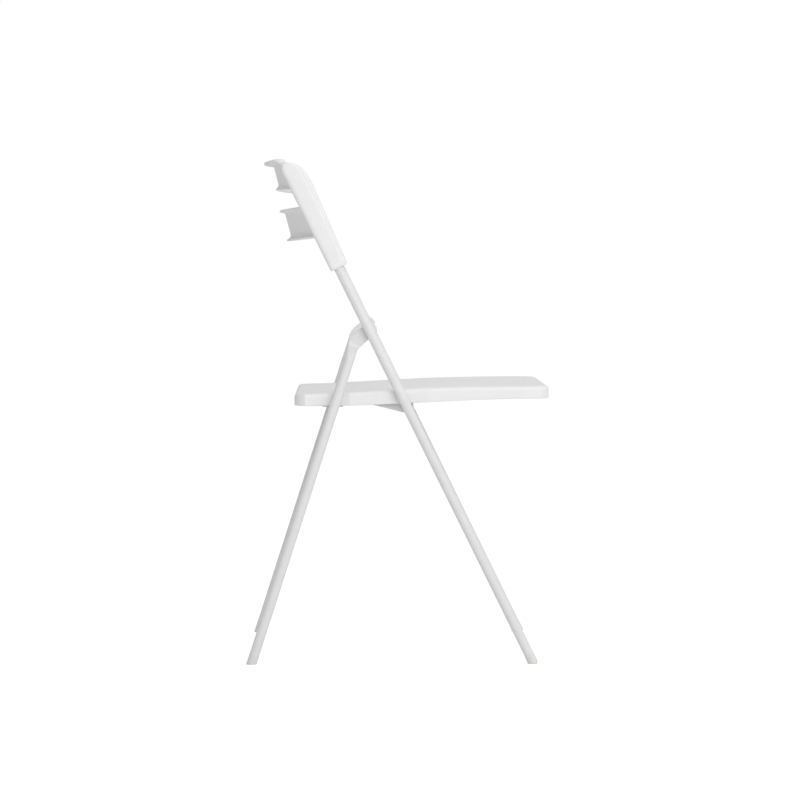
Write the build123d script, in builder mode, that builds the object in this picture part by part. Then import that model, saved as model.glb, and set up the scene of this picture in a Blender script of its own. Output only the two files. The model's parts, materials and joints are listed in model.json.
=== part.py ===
from build123d import *
import os
from math import asin, atan, atan2, cos, hypot, radians, sin, tan

# Folding chair: two crossing tube frames, a moulded seat and a moulded backrest.
# Millimetres.  +X is the sitter's front, +Y the sitter's left, +Z up.
# The origin lies on the floor under the middle of the chair.

os.makedirs("parts", exist_ok=True)
SIDES = {"left": 1, "right": -1}

# ---------------------------------------------------------------- driving dimensions
tube_r = 8.0
tube_wall = 1.5
tube_y = 206.0              # tube axes, each side of the middle
fit = 0.05                  # radial running clearance
gap = 0.3                   # room between parts that pass each other

front_foot_x = 219.4        # where the front tube's axis meets the floor
front_slope = 0.492         # rearward lean, x per z
rear_foot_x = -237.5
rear_slope = 0.3220         # forward lean, x per z

fold_pivot_z = 540.2        # rear legs turn on the front tubes here
seat_pivot_z = 413.8        # cross bar that the seat turns on
rod_z = 413.0               # rod between the rear legs, under the seat

seat_rear_x = -167.8
seat_front_x = 245.8
seat_half_width = 196.5
seat_wall = 3.0
seat_top = 3.6

# screws: shank and head radii, and the play around them
back_screw_r = 1.55
back_head_r = 3.4
back_head_thickness = 1.6
back_screw_length = 6.0
back_screw_along = (752.0, 846.0)   # distances along the front tube
seat_screw_r = 1.85
seat_head_r = 3.7
seat_head_thickness = 2.2
seat_screw_tip_z = 433.0
screw_play = 0.2
head_play = 0.4


# ---------------------------------------------------------------- the two tube axes
def front_x(z):
    """x of the front tube's axis at height z."""
    return front_foot_x - front_slope * z


def rear_x(z):
    """x of the rear leg's axis at height z."""
    return rear_foot_x + rear_slope * z


front_dir = Vector(-front_slope, 0, 1).normalized()
rear_dir = Vector(rear_slope, 0, 1).normalized()
front_lean = atan(front_slope)
rear_lean = atan(rear_slope)
fold_pivot = Vector(front_x(fold_pivot_z), 0, fold_pivot_z)
seat_pivot = Vector(front_x(seat_pivot_z), 0, seat_pivot_z)
rod_centre = Vector(rear_x(rod_z), 0, rod_z)


def on_front_tube(along, front=0.0):
    """(x, z) at a distance along the front tube from the floor, and in front of its axis."""
    x = front_foot_x - along * sin(front_lean) + front * cos(front_lean)
    z = along * cos(front_lean) + front * sin(front_lean)
    return (x, z)


def front_plane(side, along):
    """Plane across the front tube, its x along +Y."""
    x, z = on_front_tube(along)
    return Plane(origin=(x, side * tube_y, z), x_dir=(0, 1, 0), z_dir=front_dir)


def rear_plane(side, along):
    """Plane across the rear leg, its x along +Y."""
    start = Vector(rear_foot_x, side * tube_y, 0) + rear_dir * along
    return Plane(origin=start, x_dir=(0, 1, 0), z_dir=rear_dir)


def leg_point(along, front):
    """(x, z) on the rear leg: distance along it from the floor, and in front of its axis."""
    x = rear_foot_x + along * sin(rear_lean) + front * cos(rear_lean)
    z = along * cos(rear_lean) - front * sin(rear_lean)
    return (x, z)


def across(y):
    """The side plane (x, z) at a given y, facing -Y."""
    return Plane.XZ.offset(-y)


# ---------------------------------------------------------------- front tubes
foot_length = 16.0          # plastic foot shows this far up the tube
plug_length = 18.0
front_tube_top = 884.0
pin_r = 3.0

for name, side in SIDES.items():
    with BuildPart() as front_tube:
        with BuildSketch(front_plane(side, foot_length)):
            Circle(tube_r)
            Circle(tube_r - tube_wall, mode=Mode.SUBTRACT)
        extrude(amount=front_tube_top - foot_length)
        # the pivot pin is let into the inner wall only
        with BuildSketch(across(side * tube_y)):
            with Locations((fold_pivot.X, fold_pivot.Z)):
                Circle(pin_r)
        extrude(amount=side * tube_r * 2, mode=Mode.SUBTRACT)
        # two screw holes in the inner wall, inside the backrest sleeve
        with BuildSketch(across(side * tube_y)):
            with Locations(*[on_front_tube(a) for a in back_screw_along]):
                Circle(back_screw_r + fit)
        extrude(amount=side * tube_r * 2, mode=Mode.SUBTRACT)
    front_tube.part.label = f"front_tube_{name}"
    export_step(front_tube.part, f"parts/front_tube_{name}.step")

# ---------------------------------------------------------------- seat pivot bar
pivot_bar_r = 6.0
pivot_bar_wall = 1.5
cope_half = 50.0            # half length of the tube-shaped cuts beside the pivots
seat_pivot_along = seat_pivot_z / cos(front_lean)
fold_pivot_along = fold_pivot_z / cos(front_lean)

with BuildPart() as seat_pivot_bar:
    with BuildSketch(across(-tube_y)):
        with Locations((seat_pivot.X, seat_pivot.Z)):
            Circle(pivot_bar_r)
            Circle(pivot_bar_r - pivot_bar_wall, mode=Mode.SUBTRACT)
    extrude(amount=-2 * tube_y)
    # the ends are coped to the two tubes
    for side in SIDES.values():
        with BuildSketch(front_plane(side, seat_pivot_along - cope_half)):
            Circle(tube_r)
        extrude(amount=2 * cope_half, mode=Mode.SUBTRACT)
seat_pivot_bar.part.label = "seat_pivot_bar"
export_step(seat_pivot_bar.part, "parts/seat_pivot_bar.step")

# ---------------------------------------------------------------- fold pivots
ear_thickness = 3.0
spacer_thickness = 1.2
spacer_r = 7.5
saddle_depth = 4.0          # how far the spacer's edges wrap round the tube
pin_head_r = 5.5
pin_head_thickness = 2.0
ear_outer_y = tube_y - tube_r - spacer_thickness - gap
ear_inner_y = ear_outer_y - ear_thickness
pin_head_y = ear_inner_y - gap

for name, side in SIDES.items():
    # nylon spacer, saddled to the tube
    with BuildPart() as pivot_spacer:
        with BuildSketch(across(side * (tube_y - tube_r - spacer_thickness))):
            with Locations((fold_pivot.X, fold_pivot.Z)):
                Circle(spacer_r)
                Circle(pin_r, mode=Mode.SUBTRACT)
        extrude(amount=-side * (spacer_thickness + saddle_depth))
        with BuildSketch(front_plane(side, fold_pivot_along - cope_half)):
            Circle(tube_r)
        extrude(amount=2 * cope_half, mode=Mode.SUBTRACT)
    pivot_spacer.part.label = f"pivot_spacer_{name}"
    export_step(pivot_spacer.part, f"parts/pivot_spacer_{name}.step")

    # headed pin: shank in the tube's inner wall, domed head inside the ear
    with BuildPart() as fold_pin:
        with BuildSketch(across(side * pin_head_y)):
            with Locations((fold_pivot.X, fold_pivot.Z)):
                Circle(pin_r)
        extrude(amount=-side * (tube_y - tube_r + tube_wall - pin_head_y))
        with BuildSketch(across(side * pin_head_y)):
            with Locations((fold_pivot.X, fold_pivot.Z)):
                Circle(pin_head_r)
        extrude(amount=side * pin_head_thickness)
        head_rim = fold_pin.edges().filter_by(GeomType.CIRCLE).sort_by(Axis.Y)
        fillet(head_rim[0] if side > 0 else head_rim[-1], 1.4)
    fold_pin.part.label = f"fold_pin_{name}"
    export_step(fold_pin.part, f"parts/fold_pin_{name}.step")

# ---------------------------------------------------------------- rear legs
# A round tube whose top is pressed flat, set inward and bent forward into an ear.
pivot_along = fold_pivot.Z * cos(rear_lean) + (fold_pivot.X - rear_foot_x) * sin(rear_lean)
pivot_offset = (fold_pivot.X - rear_foot_x) * cos(rear_lean) - fold_pivot.Z * sin(rear_lean)
rod_r = 4.0
ear_bend = radians(32)
ear_lean = rear_lean + ear_bend
ear_half_width = 11.0
ear_end = 12.5              # the ear's end beyond the pivot, with clipped corners
ear_corner = 6.0
ear_clip = 4.5
ear_bend_end = 10.0         # the bend's curve ends this far before the pivot
bend_along = pivot_along - pivot_offset / tan(ear_bend)
press_start = bend_along - 36
ear_y = (ear_outer_y + ear_inner_y) / 2
along_leg = Vector(sin(rear_lean), cos(rear_lean))
along_ear = Vector(sin(ear_lean), cos(ear_lean))


def ear_point(along, front):
    """(x, z) on the ear: distance beyond the pivot, and in front of its middle line."""
    x = fold_pivot.X + along * sin(ear_lean) + front * cos(ear_lean)
    z = fold_pivot.Z + along * cos(ear_lean) - front * sin(ear_lean)
    return (x, z)


for name, side in SIDES.items():
    with BuildPart() as rear_leg:
        with BuildSketch(rear_plane(side, foot_length)):
            Circle(tube_r)
            Circle(tube_r - tube_wall, mode=Mode.SUBTRACT)
        extrude(amount=press_start - foot_length)
        # pressed end: round at the bottom, flat and set inward where the ear starts
        with BuildSketch(rear_plane(side, press_start)):
            Circle(tube_r - 0.02)
        flat_end = rear_plane(side, bend_along)
        inward = Vector(0, side * (ear_y - tube_y), 0)
        with BuildSketch(Plane(flat_end.origin + inward, x_dir=flat_end.x_dir, z_dir=rear_dir)):
            RectangleRounded(ear_thickness - 0.1, 2 * ear_half_width - 0.2, ear_thickness / 2 - 0.07)
        loft()
        # the ear: a flat plate bent forward about its width, its end clipped
        with BuildSketch(across(side * ear_outer_y)):
            with BuildLine():
                Spline(
                    leg_point(bend_along, -ear_half_width),
                    ear_point(-ear_bend_end, -ear_half_width),
                    tangents=(along_leg, along_ear),
                )
                Polyline(
                    ear_point(-ear_bend_end, -ear_half_width),
                    ear_point(ear_corner, -ear_half_width),
                    ear_point(ear_end, -ear_clip),
                    ear_point(ear_end, ear_clip),
                    ear_point(ear_corner, ear_half_width),
                    ear_point(-ear_bend_end, ear_half_width),
                )
                Spline(
                    ear_point(-ear_bend_end, ear_half_width),
                    leg_point(bend_along, ear_half_width),
                    tangents=(-along_ear, -along_leg),
                )
                Line(leg_point(bend_along, ear_half_width), leg_point(bend_along, -ear_half_width))
            make_face()
            with Locations((fold_pivot.X, fold_pivot.Z)):
                Circle(pin_r + fit, mode=Mode.SUBTRACT)
        extrude(amount=side * ear_thickness)
        # the rod is let into the inner wall
        with BuildSketch(across(side * tube_y)):
            with Locations((rod_centre.X, rod_centre.Z)):
                Circle(rod_r)
        extrude(amount=side * tube_r * 2, mode=Mode.SUBTRACT)
    rear_leg.part.label = f"rear_leg_{name}"
    export_step(rear_leg.part, f"parts/rear_leg_{name}.step")

# ---------------------------------------------------------------- rear rod and its sleeves
rod_sleeve_r = 5.2
rod_sleeve_half = 16.0
rest_y = 171.0              # middle of the rests under the seat
with BuildPart() as rear_rod:
    with BuildSketch(across(-(tube_y - tube_r + tube_wall))):
        with Locations((rod_centre.X, rod_centre.Z)):
            Circle(rod_r)
    extrude(amount=-2 * (tube_y - tube_r + tube_wall))
rear_rod.part.label = "rear_rod"
export_step(rear_rod.part, "parts/rear_rod.step")

for name, side in SIDES.items():
    with BuildPart() as rod_sleeve:
        with BuildSketch(across(side * rest_y)):
            with Locations((rod_centre.X, rod_centre.Z)):
                Circle(rod_sleeve_r)
                Circle(rod_r, mode=Mode.SUBTRACT)
        extrude(amount=rod_sleeve_half, both=True)
    rod_sleeve.part.label = f"rod_sleeve_{name}"
    export_step(rod_sleeve.part, f"parts/rod_sleeve_{name}.step")

# ---------------------------------------------------------------- feet
# A plug with a head as wide as the tube, cut level with the floor.
foot_r = tube_r + 0.2
floor_edge_round = 0.8
# per end: plane across the tube, length below the floor before the cut, edge rounding
foot_shapes = {"front": (front_plane, 3.0, 6.0), "rear": (rear_plane, 8.0, 5.0)}
for end, (plane_of, below, edge_round) in foot_shapes.items():
    for name, side in SIDES.items():
        with BuildPart() as foot:
            with BuildSketch(plane_of(side, -below)):
                Circle(foot_r)
            extrude(amount=foot_length + below)
            fillet(foot.edges().filter_by(GeomType.CIRCLE).sort_by(Axis.Z)[0], edge_round)
            with BuildSketch(plane_of(side, foot_length)):
                Circle(tube_r - tube_wall - fit)
            extrude(amount=plug_length)
            split(bisect_by=Plane.XY, keep=Keep.TOP)
            floor_face = foot.faces().filter_by(Axis.Z).sort_by(Axis.Z)[0]
            fillet(floor_face.edges(), floor_edge_round)
        foot.part.label = f"{end}_foot_{name}"
        export_step(foot.part, f"parts/{end}_foot_{name}.step")

# ---------------------------------------------------------------- seat shell
# Heights of the rim, rear to front: a long gentle rise towards the front edge.
rim_top = [(-172, 436.6), (-60, 440.4), (52, 446.4), (140, 448.6), (250, 449.4)]
rim_bottom = [(-172, 417.3), (-62, 418.5), (52, 423.6), (140, 427.6), (250, 428.4)]
front_corner_r = 42
rear_corner_r = 30
scallops = ((7, 2.5, 330), (-119, 6.5, 131))    # middle x, depth, radius
seat_span = 520.0           # wider than the seat, for cuts right across it
above_seat_z = 460.0
below_seat_z = 380.0


def seat_profile(top_drop, floor_z=None, bottom_drop=None):
    """Closed side outline of the seat, top lowered by top_drop.

    The lower edge is the rim's own, a level line at floor_z, or the top lowered
    by bottom_drop.
    """
    upper = [(x, z - top_drop) for x, z in rim_top]
    if bottom_drop is not None:
        lower = [(x, z - bottom_drop) for x, z in rim_top]
    else:
        lower = rim_bottom
    with BuildSketch(across(seat_span / 2), mode=Mode.PRIVATE) as outline:
        with BuildLine():
            top = Spline(*upper)
            if floor_z is None:
                bottom = Spline(*lower)
            else:
                bottom = Line((upper[0][0], floor_z), (upper[-1][0], floor_z))
            Line(top @ 0, bottom @ 0)
            Line(top @ 1, bottom @ 1)
        make_face()
    return outline.sketch


def seat_plan(inset):
    """Plan outline: rounded corners, and a shallow scallop beside each tube."""
    middle_x = (seat_rear_x + seat_front_x) / 2
    length = seat_front_x - seat_rear_x
    with BuildSketch(Plane.XY, mode=Mode.PRIVATE) as outline:
        with Locations((middle_x, 0)):
            Rectangle(length, 2 * seat_half_width)
        fillet(outline.vertices().group_by(Axis.X)[-1], front_corner_r)
        fillet(outline.vertices().group_by(Axis.X)[0], rear_corner_r)
        for centre_x, depth, radius in scallops:
            for side in SIDES.values():
                with Locations((centre_x, side * (seat_half_width + radius - depth))):
                    Circle(radius, mode=Mode.SUBTRACT)
        if inset:
            offset(amount=-inset, kind=Kind.INTERSECTION)
    return outline.sketch


with BuildPart() as seat_cavity:
    add(seat_plan(seat_wall))
    extrude(amount=above_seat_z, dir=(0, 0, 1))
    add(seat_profile(seat_top, floor_z=below_seat_z))
    extrude(amount=seat_span, dir=(0, -1, 0), mode=Mode.INTERSECT)

rib_thickness = 2.0
rib_depth = 9.0
rib_y = (-150, -75, 0, 75, 150)
rib_x = (-110, -60, -10, 60, 120, 180)
rib_blank_z = 440           # the ribs start as tall plates, then take the shell's form
rib_blank_height = 60
overlap = 0.5               # ribs and bosses run this far into the shell
with BuildPart() as seat_ribs:
    with Locations(*[((seat_rear_x + seat_front_x) / 2, y, rib_blank_z) for y in rib_y]):
        Box(seat_front_x - seat_rear_x, rib_thickness, rib_blank_height)
    with Locations(*[(x, 0, rib_blank_z) for x in rib_x]):
        Box(rib_thickness, rib_y[-1] - rib_y[0], rib_blank_height)
    add(seat_profile(seat_top - overlap, bottom_drop=seat_top + rib_depth))
    extrude(amount=seat_span, dir=(0, -1, 0), mode=Mode.INTERSECT)
    add(seat_plan(seat_wall - overlap))
    extrude(amount=above_seat_z, dir=(0, 0, 1), mode=Mode.INTERSECT)

boss_bottom_z = 427.0
boss_r = 5.0
bracket_screw_x = (-22.0, 36.0)
rest_screw_x = -127.0
screw_spots = [(x, side * rest_y) for side in SIDES.values() for x in (*bracket_screw_x, rest_screw_x)]
with BuildPart() as seat_bosses:
    with BuildSketch(Plane.XY.offset(boss_bottom_z)):
        with Locations(*screw_spots):
            Circle(boss_r)
            Circle(seat_screw_r + fit, mode=Mode.SUBTRACT)
    extrude(amount=above_seat_z - boss_bottom_z)
    add(seat_profile(seat_top - overlap, floor_z=below_seat_z))
    extrude(amount=seat_span, dir=(0, -1, 0), mode=Mode.INTERSECT)

top_edge_round = 6.0
bottom_edge_round = 1.4
with BuildPart() as seat_shell:
    add(seat_plan(0))
    extrude(amount=above_seat_z, dir=(0, 0, 1))
    add(seat_profile(0))
    extrude(amount=seat_span, dir=(0, -1, 0), mode=Mode.INTERSECT)
    top_face = seat_shell.faces().sort_by(Axis.Z)[-1]
    fillet(top_face.edges(), top_edge_round)
    bottom_face = seat_shell.faces().sort_by(Axis.Z)[0]
    fillet(bottom_face.edges(), bottom_edge_round)
    add(seat_cavity.part, mode=Mode.SUBTRACT)
    add(seat_ribs.part)
    add(seat_bosses.part)
seat_shell.part.label = "seat_shell"
export_step(seat_shell.part, "parts/seat_shell.step")

# ---------------------------------------------------------------- seat pivot brackets
bush_r = pivot_bar_r + 1.0
bracket_r = bush_r + 2.0
bracket_half = 10.0
bush_flange = 1.2
screw_cut = 30.0            # deeper than any bracket or rest
wedge_tip = (-44.0, 419.4)
bracket_front_x = 44.0
bracket_web_z = 424.4       # underside of the bracket in front of the bar
wedge_pocket_z = 421.0      # top of the screw head pocket in the wedge
reach = hypot(seat_pivot.X - wedge_tip[0], seat_pivot.Z - wedge_tip[1])
wedge_angle = atan2(seat_pivot.Z - wedge_tip[1], seat_pivot.X - wedge_tip[0]) - asin(bracket_r / reach)
wedge_run = (reach**2 - bracket_r**2) ** 0.5
wedge_end = (
    wedge_tip[0] + wedge_run * cos(wedge_angle),
    wedge_tip[1] + wedge_run * sin(wedge_angle),
)

for name, side in SIDES.items():
    with BuildPart() as pivot_bracket:
        with BuildSketch(across(side * rest_y)):
            with BuildLine():
                Polyline(
                    wedge_tip,
                    wedge_end,
                    (seat_pivot.X, seat_pivot.Z),
                    (seat_pivot.X + bracket_r, seat_pivot.Z),
                    (seat_pivot.X + bracket_r, bracket_web_z),
                    (bracket_front_x, bracket_web_z),
                    (bracket_front_x, boss_bottom_z),
                    (wedge_tip[0], boss_bottom_z),
                    close=True,
                )
            make_face()
            with Locations((seat_pivot.X, seat_pivot.Z)):
                Circle(bracket_r)
                Circle(bush_r, mode=Mode.SUBTRACT)
        extrude(amount=bracket_half, both=True)
        with BuildSketch(Plane.XY.offset(boss_bottom_z)):
            with Locations(*[(x, side * rest_y) for x in bracket_screw_x]):
                Circle(seat_screw_r + screw_play)
        extrude(amount=-screw_cut, mode=Mode.SUBTRACT)
        # the rear screw head sits in a pocket in the wedge
        with BuildSketch(Plane.XY.offset(wedge_pocket_z)):
            with Locations((bracket_screw_x[0], side * rest_y)):
                Circle(seat_head_r + head_play)
        extrude(amount=-screw_cut, mode=Mode.SUBTRACT)
    pivot_bracket.part.label = f"pivot_bracket_{name}"
    export_step(pivot_bracket.part, f"parts/pivot_bracket_{name}.step")

    with BuildPart() as pivot_bush:
        with BuildSketch(across(side * rest_y)):
            with Locations((seat_pivot.X, seat_pivot.Z)):
                Circle(bush_r)
                Circle(pivot_bar_r + fit, mode=Mode.SUBTRACT)
        extrude(amount=bracket_half, both=True)
        for face_y, outward in ((bracket_half, -1), (-bracket_half, 1)):
            with BuildSketch(across(side * rest_y + face_y)):
                with Locations((seat_pivot.X, seat_pivot.Z)):
                    Circle(bracket_r - 0.4)
                    Circle(pivot_bar_r + fit, mode=Mode.SUBTRACT)
            extrude(amount=outward * bush_flange)
    pivot_bush.part.label = f"pivot_bush_{name}"
    export_step(pivot_bush.part, f"parts/pivot_bush_{name}.step")

# ---------------------------------------------------------------- rod rests under the seat
rest_half = 12.0
rest_pocket_z = 422.0
rest_side = [(-136, 420.5), (-120, 415.5), (-90, 415.5), (-82, 420.5)]
for name, side in SIDES.items():
    with BuildPart() as rod_rest:
        with BuildSketch(across(side * rest_y)):
            with BuildLine():
                Polyline(
                    (rest_side[0][0], boss_bottom_z),
                    *rest_side,
                    (rest_side[-1][0], boss_bottom_z),
                    close=True,
                )
            make_face()
            with Locations((rod_centre.X, rod_centre.Z)):
                Circle(rod_sleeve_r + gap, mode=Mode.SUBTRACT)
        extrude(amount=rest_half, both=True)
        with BuildSketch(Plane.XY.offset(boss_bottom_z)):
            with Locations((rest_screw_x, side * rest_y)):
                Circle(seat_screw_r + screw_play)
        extrude(amount=-screw_cut, mode=Mode.SUBTRACT)
        with BuildSketch(Plane.XY.offset(rest_pocket_z)):
            with Locations((rest_screw_x, side * rest_y)):
                Circle(seat_head_r + head_play)
        extrude(amount=-screw_cut, mode=Mode.SUBTRACT)
    rod_rest.part.label = f"rod_rest_{name}"
    export_step(rod_rest.part, f"parts/rod_rest_{name}.step")

# ---------------------------------------------------------------- seat screws
screw_seats = {
    bracket_screw_x[0]: wedge_pocket_z,
    bracket_screw_x[1]: bracket_web_z,
    rest_screw_x: rest_pocket_z,
}
cross_length, cross_width, cross_depth = 4.0, 0.9, 1.1
with BuildPart() as seat_screws:
    for side in SIDES.values():
        for x, head_top in screw_seats.items():
            with BuildSketch(Plane.XY.offset(head_top)):
                with Locations((x, side * rest_y)):
                    Circle(seat_screw_r)
            extrude(amount=seat_screw_tip_z - head_top)
            with BuildSketch(Plane.XY.offset(head_top)):
                with Locations((x, side * rest_y)):
                    Circle(seat_head_r)
            extrude(amount=-seat_head_thickness)
            with BuildSketch(Plane.XY.offset(head_top - seat_head_thickness)):
                with Locations((x, side * rest_y)):
                    Rectangle(cross_length, cross_width)
                    Rectangle(cross_width, cross_length)
            extrude(amount=cross_depth, mode=Mode.SUBTRACT)
seat_screws.part.label = "seat_screws"
export_step(seat_screws.part, "parts/seat_screws.step")

# ---------------------------------------------------------------- backrest
# Two sleeves over the tube tops, joined by two thin bands bowed to the rear.
# Sleeve outline as (distance along the tube, distance in front of its axis).
sleeve_outline = [
    (714.5, -13.8), (713.5, 14.8), (866, 21.8), (877, 21.0), (891, 13.5), (904, -3), (897, -14),
]
sleeve_top_round = 6.0
sleeve_side_round = 5.0
bore_start = 700.0          # below the sleeve's lower end
sleeve_half = 12.0
head_pocket = 1.8           # depth of the screw head's pocket in the sleeve
band_end_y = tube_y - 9.5
band_wall = 3.5
centre_slope = 0.24         # the bands are more upright in the middle than the tubes
centre_rear_x = -204.8      # rear face of the upper band's middle, at its height below
centre_rear_z = 809.5
band_sections = 9

# Each band: top and bottom heights in the middle and at the sleeves, lip depths.
bands = {
    "upper": {"top": (815.6, 816.6), "bottom": (769.6, 765.0), "lips": (15.0, 7.0)},
    "lower": {"top": (735.6, 740.0), "bottom": (685.2, 690.0), "lips": (8.5, 9.5)},
}


def band_x(z, bow):
    """Rear face of the bands' web at height z: bow is 1 in the middle, 0 at the sleeves."""
    middle = centre_rear_x + (centre_rear_z - z) * centre_slope
    at_sleeve = front_x(z) - 2.0
    return at_sleeve + (middle - at_sleeve) * bow


def band_outline(band, y):
    """Channel section of a band at one y: an upright web with a lip at each edge."""
    bow = 1 - (y / band_end_y) ** 2
    top = band["top"][1] + (band["top"][0] - band["top"][1]) * bow
    bottom = band["bottom"][1] + (band["bottom"][0] - band["bottom"][1]) * bow
    top_lip, bottom_lip = band["lips"]
    knee = bottom + 7.5
    return [
        (band_x(top, bow) + band_wall, top - 0.6),
        (band_x(top, bow), top),
        (band_x(top, bow) - top_lip, top - 1.2),
        (band_x(top, bow) - top_lip + 0.6, top - 3.6),
        (band_x(top - 4, bow), top - 4),
        (band_x(knee, bow), knee),
        (band_x(bottom, bow) - bottom_lip, bottom + 2.4),
        (band_x(bottom, bow) - bottom_lip + 1.2, bottom),
        (band_x(knee - 2, bow) + band_wall, knee - 3.0),
    ]


with BuildPart() as backrest:
    for side in SIDES.values():
        with BuildSketch(across(side * tube_y)):
            with BuildLine():
                Polyline(*[on_front_tube(*p) for p in sleeve_outline], close=True)
            make_face()
        extrude(amount=sleeve_half, both=True)
    along_y = backrest.edges().filter_by(Axis.Y)
    fillet(along_y.group_by(Axis.Z)[-1] + along_y.group_by(Axis.Z)[-2], sleeve_top_round)
    fillet(backrest.edges().filter_by(Axis.Y, reverse=True), sleeve_side_round)
    for band in bands.values():
        for step in range(band_sections):
            y = band_end_y * (2 * step / (band_sections - 1) - 1)
            with BuildSketch(across(y)):
                with BuildLine():
                    Polyline(*band_outline(band, y), close=True)
                make_face()
        loft()
    for side in SIDES.values():
        with BuildSketch(front_plane(side, bore_start)):
            Circle(tube_r + fit)
        extrude(amount=front_tube_top - bore_start + gap, mode=Mode.SUBTRACT)
        with BuildSketch(across(side * (tube_y - sleeve_half))):
            with Locations(*[on_front_tube(a) for a in back_screw_along]):
                Circle(back_screw_r + screw_play)
        extrude(amount=-side * tube_r, mode=Mode.SUBTRACT)
        with BuildSketch(across(side * (tube_y - sleeve_half))):
            with Locations(*[on_front_tube(a) for a in back_screw_along]):
                Circle(back_head_r + screw_play)
        extrude(amount=-side * head_pocket, mode=Mode.SUBTRACT)
backrest.part.label = "backrest"
export_step(backrest.part, "parts/backrest.step")

with BuildPart() as backrest_screws:
    for side in SIDES.values():
        with BuildSketch(across(side * (tube_y - sleeve_half + head_pocket))):
            with Locations(*[on_front_tube(a) for a in back_screw_along]):
                Circle(back_head_r)
        extrude(amount=side * back_head_thickness)
        with BuildSketch(across(side * (tube_y - sleeve_half + head_pocket))):
            with Locations(*[on_front_tube(a) for a in back_screw_along]):
                Circle(back_screw_r)
        extrude(amount=-side * back_screw_length)
backrest_screws.part.label = "backrest_screws"
export_step(backrest_screws.part, "parts/backrest_screws.step")
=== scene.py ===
import json
from math import atan, copysign, cos, pi, radians, sin, sqrt, tan

import bmesh
import bpy
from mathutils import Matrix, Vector


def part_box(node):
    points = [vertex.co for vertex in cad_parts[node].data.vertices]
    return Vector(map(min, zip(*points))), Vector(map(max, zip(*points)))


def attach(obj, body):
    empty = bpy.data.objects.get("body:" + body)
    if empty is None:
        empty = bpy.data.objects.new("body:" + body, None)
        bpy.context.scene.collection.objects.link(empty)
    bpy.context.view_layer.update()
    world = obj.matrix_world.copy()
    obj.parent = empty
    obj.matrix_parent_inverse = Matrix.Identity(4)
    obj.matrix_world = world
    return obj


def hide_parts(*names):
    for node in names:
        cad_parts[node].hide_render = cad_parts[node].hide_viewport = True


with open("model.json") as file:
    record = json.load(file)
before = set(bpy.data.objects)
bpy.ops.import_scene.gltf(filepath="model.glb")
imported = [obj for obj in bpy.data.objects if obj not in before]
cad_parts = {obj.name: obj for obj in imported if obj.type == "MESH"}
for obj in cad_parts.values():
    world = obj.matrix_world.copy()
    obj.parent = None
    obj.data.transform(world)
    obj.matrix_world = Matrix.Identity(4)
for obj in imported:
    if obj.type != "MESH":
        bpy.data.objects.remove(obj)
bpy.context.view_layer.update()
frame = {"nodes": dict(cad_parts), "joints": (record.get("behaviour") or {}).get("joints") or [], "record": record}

# Folding chair in white powder-coated tube and white moulded plastic.
# Metres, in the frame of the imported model: +X the sitter's front, +Y left, +Z up.

scene = bpy.context.scene
joints = {j["name"]: j for j in frame["joints"]}

# ------------------------------------------------------------------ dimensions
SIDES = (("left", 1), ("right", -1))
tube_r = 0.008
tube_y = 0.206
front_foot_x, front_slope = 0.2194, 0.492
rear_foot_x, rear_slope = -0.2375, 0.3220
front_lean, rear_lean = atan(front_slope), atan(rear_slope)
fold_pivot = Vector(joints["rear_leg_fold"]["pos_m"])
seat_pivot = Vector(joints["seat_fold"]["pos_m"])
rod_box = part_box("rear_rod")
rod_centre = (rod_box[0] + rod_box[1]) / 2


def front_x(z):
    """x of the front tube's axis at height z."""
    return front_foot_x - front_slope * z


def on_front_tube(along, front=0.0):
    """(x, z) at a distance along the front tube from the floor, and in front of its axis."""
    x = front_foot_x - along * sin(front_lean) + front * cos(front_lean)
    return x, along * cos(front_lean) + front * sin(front_lean)


def rear_leg_point(along, front=0.0):
    """(x, z) at a distance along the rear leg from the floor, and in front of its axis."""
    x = rear_foot_x + along * sin(rear_lean) + front * cos(rear_lean)
    return x, along * cos(rear_lean) - front * sin(rear_lean)


def mix(a, b, t):
    return a + (b - a) * t


def ease(t):
    """Smooth step from 0 to 1."""
    t = min(1.0, max(0.0, t))
    return t * t * (3 - 2 * t)


def from_table(table, x):
    """Value at x from (x, value) pairs, straight between them."""
    if x <= table[0][0]:
        return table[0][1]
    for (x0, v0), (x1, v1) in zip(table, table[1:]):
        if x <= x1:
            return mix(v0, v1, (x - x0) / (x1 - x0))
    return table[-1][1]


def rounded(points, radii, steps=5):
    """A closed outline with each corner turned into a short smooth curve, one radius each."""
    out = []
    for i, (corner, radius) in enumerate(zip(points, radii)):
        corner = Vector(corner)
        before = Vector(points[i - 1]) - corner
        after = Vector(points[(i + 1) % len(points)]) - corner
        start = corner + before.normalized() * min(radius, before.length * 0.49)
        end = corner + after.normalized() * min(radius, after.length * 0.49)
        for k in range(steps):
            t = k / (steps - 1)
            out.append(start.lerp(corner, t).lerp(corner.lerp(end, t), t))
    return out


# ------------------------------------------------------------------ mesh helpers
SHARP_ANGLE = radians(38)   # edges sharper than this stay crisp


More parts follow.
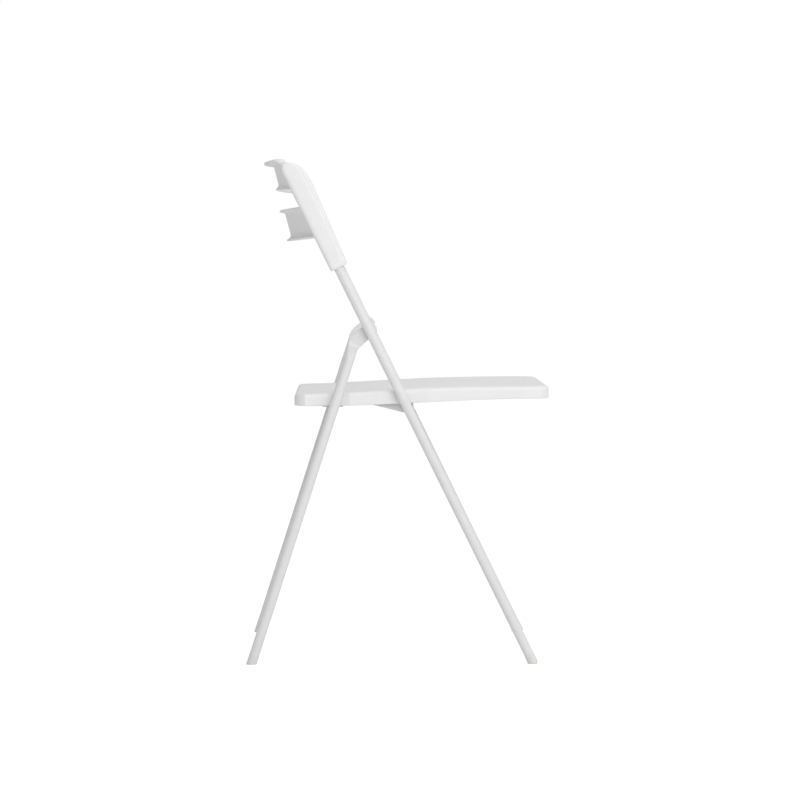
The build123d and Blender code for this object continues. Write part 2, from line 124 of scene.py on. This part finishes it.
def skin(name, strips, body, material, replaces=()):
    """One piece from strips of rings: (rings, close_start, close_end, join_ends).

    Neighbouring rings are joined by quads.
    """
    points, faces = [], []
    for rings, close_start, close_end, join_ends in strips:
        base, count = len(points), len(rings[0])
        for ring in rings:
            points.extend(ring)
        total = len(rings)
        for i in range(total if join_ends else total - 1):
            a, b = base + i * count, base + (i + 1) % total * count
            for k in range(count):
                n = (k + 1) % count
                faces.append((a + k, a + n, b + n, b + k))
        if close_start:
            faces.append(tuple(base + k for k in reversed(range(count))))
        if close_end:
            faces.append(tuple(base + (total - 1) * count + k for k in range(count)))
    mesh = bpy.data.meshes.new(name)
    mesh.from_pydata([tuple(p) for p in points], [], faces)
    mesh.validate()
    shell = bmesh.new()
    shell.from_mesh(mesh)
    bmesh.ops.recalc_face_normals(shell, faces=shell.faces)
    shell.to_mesh(mesh)
    shell.free()
    mesh.shade_smooth()
    mesh.set_sharp_from_angle(angle=SHARP_ANGLE)
    mesh.materials.append(material)
    piece = bpy.data.objects.new(name, mesh)
    scene.collection.objects.link(piece)
    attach(piece, body)
    if replaces:
        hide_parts(*replaces)


# ------------------------------------------------------------------ shader helpers
def new_material(name):
    material = bpy.data.materials.new(name)
    material.use_nodes = True
    tree = material.node_tree
    return material, tree, tree.nodes["Principled BSDF"]


def add_node(tree, kind, **settings):
    """Adds a node; a setting is an attribute, or an input if its name starts with in_."""
    node = tree.nodes.new(kind)
    for key, value in settings.items():
        if key.startswith("in_"):
            node.inputs[key[3:]].default_value = value
        else:
            setattr(node, key, value)
    return node


def noise(tree, scale, detail=2.0, roughness=0.5):
    """Noise in object space, so it doesn't depend on UVs."""
    place = tree.nodes.get("Texture Coordinate") or tree.nodes.new("ShaderNodeTexCoord")
    node = add_node(tree, "ShaderNodeTexNoise", in_Scale=scale, in_Detail=detail, in_Roughness=roughness)
    tree.links.new(place.outputs["Object"], node.inputs["Vector"])
    return node


def ramp(tree, source, low, high, from_min=0.3, from_max=0.7):
    """Maps a noise value onto low to high."""
    node = add_node(tree, "ShaderNodeMapRange")
    node.inputs["From Min"].default_value = from_min
    node.inputs["From Max"].default_value = from_max
    node.inputs["To Min"].default_value = low
    node.inputs["To Max"].default_value = high
    tree.links.new(source, node.inputs["Value"])
    return node.outputs["Result"]


def tint(tree, shader, source, dark, light):
    """Varies the base colour a little between two tones."""
    node = add_node(tree, "ShaderNodeMix", data_type="RGBA")
    node.inputs["A"].default_value = (*dark, 1)
    node.inputs["B"].default_value = (*light, 1)
    tree.links.new(source, node.inputs["Factor"])
    tree.links.new(node.outputs["Result"], shader.inputs["Base Color"])


def bump(tree, shader, source, distance, strength):
    """Raises the surface by a noise value."""
    node = add_node(tree, "ShaderNodeBump", in_Strength=strength, in_Distance=distance)
    tree.links.new(source, node.inputs["Height"])
    tree.links.new(node.outputs["Normal"], shader.inputs["Normal"])


# ------------------------------------------------------------------ materials
def powder_coat():
    """White powder coat: satin, with a fine orange peel and faint handling marks."""
    material, tree, shader = new_material("powder_coat")
    shader.inputs["Specular IOR Level"].default_value = 0.5
    shader.inputs["Coat Weight"].default_value = 0.25
    shader.inputs["Coat Roughness"].default_value = 0.22
    peel = noise(tree, 700, 2.0)
    bump(tree, shader, peel.outputs["Fac"], 0.00006, 0.5)
    marks = noise(tree, 45, 4.0, 0.6)
    tree.links.new(ramp(tree, marks.outputs["Fac"], 0.34, 0.46), shader.inputs["Roughness"])
    tint(tree, shader, ramp(tree, marks.outputs["Fac"], 0, 1), (0.73, 0.73, 0.73), (0.76, 0.76, 0.76))
    return material


def moulded_plastic(name, dark, light, grain, rough):
    """White moulded plastic: fine spark-eroded grain, slightly uneven gloss."""
    material, tree, shader = new_material(name)
    shader.inputs["Specular IOR Level"].default_value = 0.45
    fine = noise(tree, grain, 3.0, 0.6)
    bump(tree, shader, fine.outputs["Fac"], 0.00008, 0.45)
    broad = noise(tree, 14, 3.0)
    tree.links.new(ramp(tree, broad.outputs["Fac"], rough[0], rough[1]), shader.inputs["Roughness"])
    tint(tree, shader, ramp(tree, broad.outputs["Fac"], 0, 1), dark, light)
    return material


def zinc_steel():
    """Zinc-plated steel: fine grain and patchy shine."""
    material, tree, shader = new_material("zinc_steel")
    shader.inputs["Metallic"].default_value = 1.0
    grain = noise(tree, 900, 4.0, 0.7)
    bump(tree, shader, grain.outputs["Fac"], 0.00003, 0.5)
    patches = noise(tree, 160, 2.0)
    tree.links.new(ramp(tree, patches.outputs["Fac"], 0.24, 0.42), shader.inputs["Roughness"])
    tint(tree, shader, ramp(tree, patches.outputs["Fac"], 0, 1), (0.56, 0.56, 0.55), (0.68, 0.68, 0.69))
    return material


paint = powder_coat()
seat_skin = moulded_plastic("seat_plastic", (0.82, 0.82, 0.82), (0.85, 0.85, 0.85), 1500, (0.38, 0.48))
back_skin = moulded_plastic("back_plastic", (0.82, 0.82, 0.82), (0.85, 0.85, 0.85), 1500, (0.36, 0.46))
foot_skin = moulded_plastic("foot_plastic", (0.70, 0.70, 0.69), (0.76, 0.76, 0.75), 1100, (0.45, 0.6))
bracket_skin = moulded_plastic("bracket_plastic", (0.76, 0.76, 0.75), (0.80, 0.80, 0.79), 1100, (0.4, 0.5))
nylon_skin = moulded_plastic("nylon", (0.76, 0.75, 0.71), (0.81, 0.80, 0.77), 700, (0.28, 0.38))
zinc = zinc_steel()

SLOT_MATERIAL = {
    "frame_paint": paint,
    "seat_plastic": seat_skin,
    "back_plastic": back_skin,
    "foot_plastic": foot_skin,
    "bracket_plastic": bracket_skin,
    "nylon": nylon_skin,
    "fastener_steel": zinc,
}
for subpart in frame["record"]["subparts"]:
    node = frame["nodes"][subpart["node"]]
    node.data.materials.clear()
    node.data.materials.append(SLOT_MATERIAL[subpart["material_slot"]])


# ------------------------------------------------------------------ backrest
sleeve_bottom, sleeve_top = 0.7138, 0.9040
sleeve_half = 0.012
# the sleeve's rear and front, measured in front of the tube's axis, by distance along it
sleeve_rear = [(0.7138, -0.0138), (0.890, -0.0139), (0.897, -0.0132), (0.901, -0.0100), (0.904, -0.0050)]
sleeve_front = [
    (0.7138, 0.0148), (0.866, 0.0218), (0.873, 0.0214), (0.880, 0.0197), (0.887, 0.0165),
    (0.893, 0.0120), (0.898, 0.0065), (0.902, 0.0005), (0.904, -0.0030),
]
crease = 0.0125             # line down the sleeve where its front half steps in
crease_step = 0.0007        # how far the front half steps in
crease_run = 0.0006         # length over which it does
crown_start = 0.893         # the sleeve narrows to its top from here
crown_narrowing = 0.0055
bore_r = tube_r + 0.0001
bore_depth = 0.012          # the bore is modelled this far in
straight_from, straight_to = 0.722, 0.866   # rings are evenly spaced between these
lip_steps = [(0, 0.0012), (0.0003, 0.0005), (0.0012, 0)]    # (rise, inset) round the lower lip
# shares of the sleeve's depth that limit how far forward the crease is, and the corner radii
crease_share, radius_share = 0.8, 0.45
# corner radii round the section: rear edge, crease, front edges, crease, rear edge
sleeve_rounds = (0.0085, 0.0015, 0.0015, 0.0055, 0.0055, 0.0015, 0.0015, 0.0085)


def sleeve_ring(side, along, inset):
    """Ring round the sleeve at one station: a rounded box with a step at the crease."""
    rear, front = from_table(sleeve_rear, along) + inset, from_table(sleeve_front, along) - inset
    crown = max(0.0, (along - crown_start) / (sleeve_top - crown_start))
    narrowing = crown_narrowing * (1 - sqrt(max(0.0, 1 - crown * crown)))
    half = sleeve_half - inset - narrowing
    line = min(crease, mix(rear, front, crease_share))
    slim = half - crease_step
    outline = rounded(
        [(half, rear), (half, line), (slim, line + crease_run), (slim, front),
         (-slim, front), (-slim, line + crease_run), (-half, line), (-half, rear)],
        [min(r, (front - rear) * radius_share) for r in sleeve_rounds],
        steps=7,
    )
    ring = []
    for across, ahead in outline:
        x, z = on_front_tube(along, ahead)
        ring.append((x, side * tube_y + across, z))
    return ring


def bore_ring(side, along, like):
    """Ring on the sleeve's bore with as many points as another ring, at the same bearings."""
    x0, z0 = on_front_tube(along)
    ring = []
    for x, y, z in like:
        ahead = (x - x0) * cos(front_lean) + (z - z0) * sin(front_lean)
        across = y - side * tube_y
        distance = sqrt(ahead * ahead + across * across)
        px, pz = on_front_tube(along, ahead / distance * bore_r)
        ring.append((px, side * tube_y + across / distance * bore_r, pz))
    return ring


def sleeve_strip(side):
    """Rings from inside the bore, over the lower lip and up the sleeve to its crown."""
    lip = [sleeve_ring(side, sleeve_bottom + rise, inset) for rise, inset in lip_steps]
    rings = [bore_ring(side, sleeve_bottom + depth, lip[0]) for depth in (bore_depth, 0)] + lip
    straight, crowned = 14, 22
    for k in range(straight + 1):
        rings.append(sleeve_ring(side, mix(straight_from, straight_to, k / straight), 0))
    for k in range(1, crowned + 1):
        rings.append(sleeve_ring(side, mix(straight_to, sleeve_top, k / crowned), 0))
    return rings, False, True, False


band_end_y = tube_y - 0.0095
band_wall = 0.0035
centre_slope = 0.24         # the bands are more upright in the middle than the tubes
centre_rear_x, centre_rear_z = -0.2048, 0.8095
band_set_back = 0.002       # at the sleeves the web's rear is this far behind the tube's axis
flare_reach = 0.030         # this near to their ends the bands thicken and their lips shrink
shoulder_reach = 0.018      # this near to its ends the upper one's top edge turns down
lip_shrink, wall_gain = 0.45, 0.0025
root_r, root_gain = 0.0015, 0.0030
knee_rise = 0.0080          # the web ends and the bottom lip starts this far above the bottom
edge_r = 0.0030             # corner radius of the section
# Per band: top and bottom heights in the middle and at the sleeves, lip depths, the
# lip's droop, and how far the top edge turns down at the sleeves.
bands = {
    "upper": {
        "top": (0.8154, 0.8162), "bottom": (0.7678, 0.7650),
        "lips": (0.0150, 0.0070), "droop": 0.0022, "shoulder": 0.0075,
    },
    "lower": {
        "top": (0.7356, 0.7400), "bottom": (0.6832, 0.6900),
        "lips": (0.0085, 0.0095), "droop": 0.0012, "shoulder": 0.0,
    },
}


def band_x(z, bow):
    """Rear face of the bands' web at height z: bow is 1 in the middle, 0 at the sleeves."""
    middle = centre_rear_x + (centre_rear_z - z) * centre_slope
    at_sleeve = front_x(z) - band_set_back
    return mix(at_sleeve, middle, bow)


def band_ring(band, y):
    """Channel section with rolled lips, thickening where it runs into the sleeves."""
    bow = 1 - (y / band_end_y) ** 2
    top = mix(band["top"][1], band["top"][0], bow)
    bottom = mix(band["bottom"][1], band["bottom"][0], bow)
    top_lip, bottom_lip = band["lips"]
    droop = band["droop"]
    from_end = band_end_y - abs(y)
    flare = ease(1 - from_end / flare_reach)
    top -= band["shoulder"] * ease(1 - from_end / shoulder_reach)
    top_lip *= 1 - lip_shrink * flare
    bottom_lip *= 1 - lip_shrink * flare
    wall = band_wall + wall_gain * flare
    root = root_r + root_gain * flare
    knee = bottom + knee_rise
    outline = [
        (band_x(top, bow) + wall, top - 0.0012),
        (band_x(top, bow), top),
        (band_x(top, bow) - top_lip * 0.6, top - droop * 0.25),
        (band_x(top, bow) - top_lip, top - droop),
        (band_x(top, bow) - top_lip + 0.0010, top - droop - 0.0034),
        (band_x(top, bow) - top_lip * 0.5, top - 0.0042),
        (band_x(top - 0.0050, bow), top - 0.0046 - root),
        (band_x(knee, bow), knee + root),
        (band_x(bottom, bow) - bottom_lip * 0.45, bottom + 0.0052),
        (band_x(bottom, bow) - bottom_lip, bottom + 0.0024),
        (band_x(bottom, bow) - bottom_lip + 0.0012, bottom),
        (band_x(bottom, bow) - bottom_lip * 0.3, bottom + 0.0012),
        (band_x(knee, bow) + wall, knee - 0.0034),
    ]
    return [(p[0], y, p[1]) for p in rounded(outline, [edge_r] * len(outline), steps=4)]


def band_strip(band):
    """Rings along a band, closer together near the sleeves, where it flares."""
    stations = 48
    spread = [sin(pi / 2 * (2 * k / stations - 1)) for k in range(stations + 1)]
    return [band_ring(band, band_end_y * t) for t in spread], True, True, False


skin(
    "backrest_moulding",
    [sleeve_strip(side) for _, side in SIDES] + [band_strip(band) for band in bands.values()],
    "front_frame", back_skin, ["backrest"],
)

# ------------------------------------------------------------------ rear legs
foot_length = 0.016
ear_bend = radians(32)
ear_lean = rear_lean + ear_bend
ear_half, ear_thick = 0.0110, 0.0030
spacer_thick, running_gap = 0.0012, 0.0003
ear_y = tube_y - tube_r - spacer_thick - running_gap - ear_thick / 2
pivot_along = fold_pivot.z * cos(rear_lean) + (fold_pivot.x - rear_foot_x) * sin(rear_lean)
pivot_offset = (fold_pivot.x - rear_foot_x) * cos(rear_lean) - fold_pivot.z * sin(rear_lean)
bend_along = pivot_along - pivot_offset / tan(ear_bend)
press_start, press_end = bend_along - 0.030, bend_along - 0.002
bend_reach = 0.013          # the bend is spread this far each side of its middle
bend_to_pivot = pivot_offset / sin(ear_bend)
ear_length = bend_to_pivot + 0.0125
clip_beyond_pivot = 0.006   # the ear's corners are clipped from this far past the pivot
spread_before, spread_length = 0.014, 0.020     # the tube widens over this length, from before the bend
# exponents of the ear's section, where 1 would be an ellipse, and how thick its middle is
# against its rolled edges
edge_fullness, face_fullness = 0.72, 0.42
waist = 0.5
leg_points = 40


def leg_centre(along):
    """Centre line of leg and ear: (x, z, lean) by distance along it."""
    turned = ease((along - bend_along + bend_reach) / (2 * bend_reach))
    lean = mix(rear_lean, ear_lean, turned)
    if along <= bend_along - bend_reach:
        return (*rear_leg_point(along), lean)
    bend = Vector(rear_leg_point(bend_along))
    ear_way = Vector((sin(ear_lean), cos(ear_lean)))
    if along >= bend_along + bend_reach:
        return (*(bend + ear_way * (along - bend_along)), lean)
    t = (along - bend_along + bend_reach) / (2 * bend_reach)
    start, end = Vector(rear_leg_point(bend_along - bend_reach)), bend + ear_way * bend_reach
    return (*start.lerp(bend, t).lerp(bend.lerp(end, t), t), lean)


def leg_ring(side, along, narrow=1.0, thin=1.0):
    """Round tube, pressed into a flat ear with rolled edges further up."""
    x0, z0, lean = leg_centre(along)
    flat = ease((along - press_start) / (press_end - press_start))
    spread = ease((along - bend_along + spread_before) / spread_length)
    inward = mix(tube_y, ear_y, flat)
    ring = []
    for k in range(leg_points):
        turn = 2 * pi * k / leg_points
        c, s = cos(turn), sin(turn)
        wide = copysign(abs(c) ** edge_fullness, c)
        deep = copysign(abs(s) ** face_fullness, s) * (waist + (1 - waist) * wide ** 4)
        ahead = mix(tube_r * c, ear_half * narrow * wide, spread)
        across = mix(tube_r * s, ear_thick / 2 * thin * deep, flat)
        ring.append((x0 + ahead * cos(lean), side * (inward + across), z0 - ahead * sin(lean)))
    return ring


def leg_strip(side):
    """Rings up the round tube, through the press and along the ear."""
    rings = [leg_ring(side, foot_length), leg_ring(side, press_start)]
    stations = 26
    end = bend_along + bend_to_pivot + clip_beyond_pivot
    rings += [leg_ring(side, mix(press_start, end, k / stations)) for k in range(1, stations + 1)]
    # clipped corners, then a slightly rounded end
    last = bend_along + ear_length
    for t, narrow, thin in ((0.45, 0.80, 1.0), (0.9, 0.45, 1.0), (0.97, 0.40, 0.8), (1.0, 0.34, 0.5)):
        rings.append(leg_ring(side, mix(end, last, t), narrow, thin))
    return rings, False, True, False


for name, side in SIDES:
    skin(
        f"rear_leg_tube_{name}", [leg_strip(side)], "rear_frame", paint,
        [f"rear_leg_{name}"],
    )

# ------------------------------------------------------------------ weld beads
bead_r = 0.0011
bead_gap = 0.0004           # the bead's middle is this far off the bar
ripples, ripple_height = 24, 0.10
pivot_bar_r, rod_r = 0.006, 0.004


def weld_strip(side, centre_x, centre_z, bar_r, lean):
    """Rippled bead where a cross bar meets a tube, following the saddle between them."""
    steps, around = 96, 8
    rings = []
    for i in range(steps):
        turn = 2 * pi * i / steps
        reach = bar_r + bead_gap
        across_tube = reach * cos(turn)
        along_tube = reach * sin(turn)
        inward = sqrt(tube_r * tube_r - across_tube * across_tube)
        size = bead_r * (1 + ripple_height * sin(ripples * turn))
        ring = []
        for k in range(around):
            angle = 2 * pi * k / around
            out = size * cos(angle)
            a, b = across_tube + out * cos(turn), along_tube + out * sin(turn)
            x = centre_x + a * cos(lean) + b * sin(lean)
            z = centre_z - a * sin(lean) + b * cos(lean)
            ring.append((x, side * (tube_y - inward - size * sin(angle)), z))
        rings.append(ring)
    return rings, False, False, True


skin(
    "pivot_bar_welds",
    [weld_strip(side, seat_pivot.x, seat_pivot.z, pivot_bar_r, -front_lean) for _, side in SIDES],
    "front_frame", paint,
)
skin(
    "rod_welds",
    [weld_strip(side, rod_centre.x, rod_centre.z, rod_r, rear_lean) for _, side in SIDES],
    "rear_frame", paint,
)


# ------------------------------------------------------------------ camera
def photo_camera():
    """Long lens on the chair's right, above its seat, tipped slightly down."""
    data = bpy.data.cameras.new("camera")
    data.lens = 134.1
    data.clip_end = 60
    camera = bpy.data.objects.new("camera", data)
    scene.collection.objects.link(camera)
    camera.location = (-0.0776, -5.0, 0.669)
    aim = Vector((0.0063, 0, 0.4173))
    camera.rotation_mode = "QUATERNION"
    camera.rotation_quaternion = (aim - camera.location).to_track_quat("-Z", "Y")
    scene.camera = camera


# ------------------------------------------------------------------ stage and lights
def white_world(to_camera, from_rear, from_front):
    """A white surround that lights more from the chair's front than from its rear."""
    world = bpy.data.worlds.new("studio")
    scene.world = world
    world.use_nodes = True
    tree = world.node_tree
    background = tree.nodes["Background"]
    background.inputs["Color"].default_value = (1, 1, 1, 1)
    place = tree.nodes.new("ShaderNodeTexCoord")
    split = tree.nodes.new("ShaderNodeSeparateXYZ")
    tree.links.new(place.outputs["Generated"], split.inputs["Vector"])
    lighting = ramp(tree, split.outputs["X"], from_rear, from_front, from_min=-0.8, from_max=0.5)
    path = tree.nodes.new("ShaderNodeLightPath")
    strength = add_node(tree, "ShaderNodeMix", data_type="FLOAT")
    strength.inputs["B"].default_value = to_camera
    tree.links.new(path.outputs["Is Camera Ray"], strength.inputs["Factor"])
    tree.links.new(lighting, strength.inputs["A"])
    tree.links.new(strength.outputs["Result"], background.inputs["Strength"])


def white_floor(glow):
    """A pale floor, bright enough when seen to run into the white surround."""
    mesh = bpy.data.meshes.new("floor")
    size = 40
    corners = [(-size, -size, 0), (size, -size, 0), (size, size, 0), (-size, size, 0)]
    mesh.from_pydata(corners, [], [(0, 1, 2, 3)])
    floor = bpy.data.objects.new("floor", mesh)
    scene.collection.objects.link(floor)
    material, tree, shader = new_material("floor_white")
    shader.inputs["Base Color"].default_value = (0.9, 0.9, 0.9, 1)
    shader.inputs["Roughness"].default_value = 0.9
    shader.inputs["Specular IOR Level"].default_value = 0.1
    shader.inputs["Emission Color"].default_value = (1, 1, 1, 1)
    path = tree.nodes.new("ShaderNodeLightPath")
    lift = add_node(tree, "ShaderNodeMapRange")
    lift.inputs["To Min"].default_value = 0.0
    lift.inputs["To Max"].default_value = glow
    tree.links.new(path.outputs["Is Camera Ray"], lift.inputs["Value"])
    tree.links.new(lift.outputs["Result"], shader.inputs["Emission Strength"])
    mesh.materials.append(material)


def softbox(name, place, aim, size, power):
    """A rectangular area light that the camera doesn't see."""
    data = bpy.data.lights.new(name, "AREA")
    data.shape = "RECTANGLE"
    data.size, data.size_y = size
    data.energy = power
    light = bpy.data.objects.new(name, data)
    light.location = place
    light.rotation_mode = "QUATERNION"
    light.rotation_quaternion = (Vector(aim) - Vector(place)).to_track_quat("-Z", "Y")
    scene.collection.objects.link(light)
    light.visible_camera = False


scene.view_settings.view_transform = "Standard"
photo_camera()
white_world(1.0, 0.47, 0.80)
white_floor(0.42)
softbox("key", (0.9, -3.2, 2.0), (0, 0, 0.4), (2.4, 1.8), 40)
softbox("top", (0.4, 0.2, 3.2), (0, 0, 0.4), (2.0, 2.0), 9)
